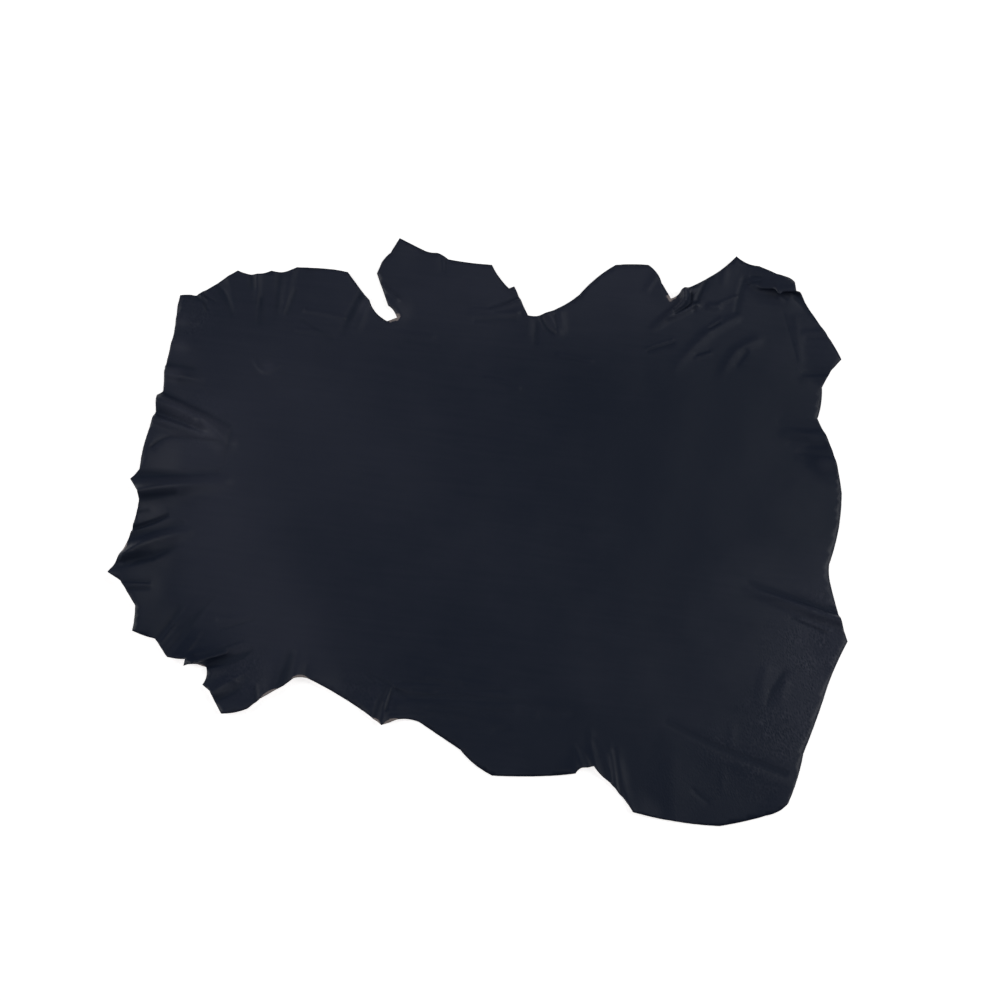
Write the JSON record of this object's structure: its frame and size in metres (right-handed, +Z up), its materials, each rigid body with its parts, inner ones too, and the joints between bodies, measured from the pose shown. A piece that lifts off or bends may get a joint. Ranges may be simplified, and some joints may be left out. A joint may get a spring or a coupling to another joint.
{
  "type": "lambskin leather skin",
  "caption": "Whole dyed lambskin leather lying loose and flat, with its natural outline, ruffled edges and soft folds.",
  "frame": {"origin": "on the surface that the skin lies on, under the middle of its bounding box", "axes": "+Z up out of the grain side, +X along the skin's longer way towards its right end, +Y away from the viewer"},
  "size_m": [0.956, 0.806, 0.027],
  "materials": {
    "lambskin": "soft satin grain, dark navy"
  },
  "bodies": {
    "root": {"skin": "lambskin"}
  },
  "joints": []
}
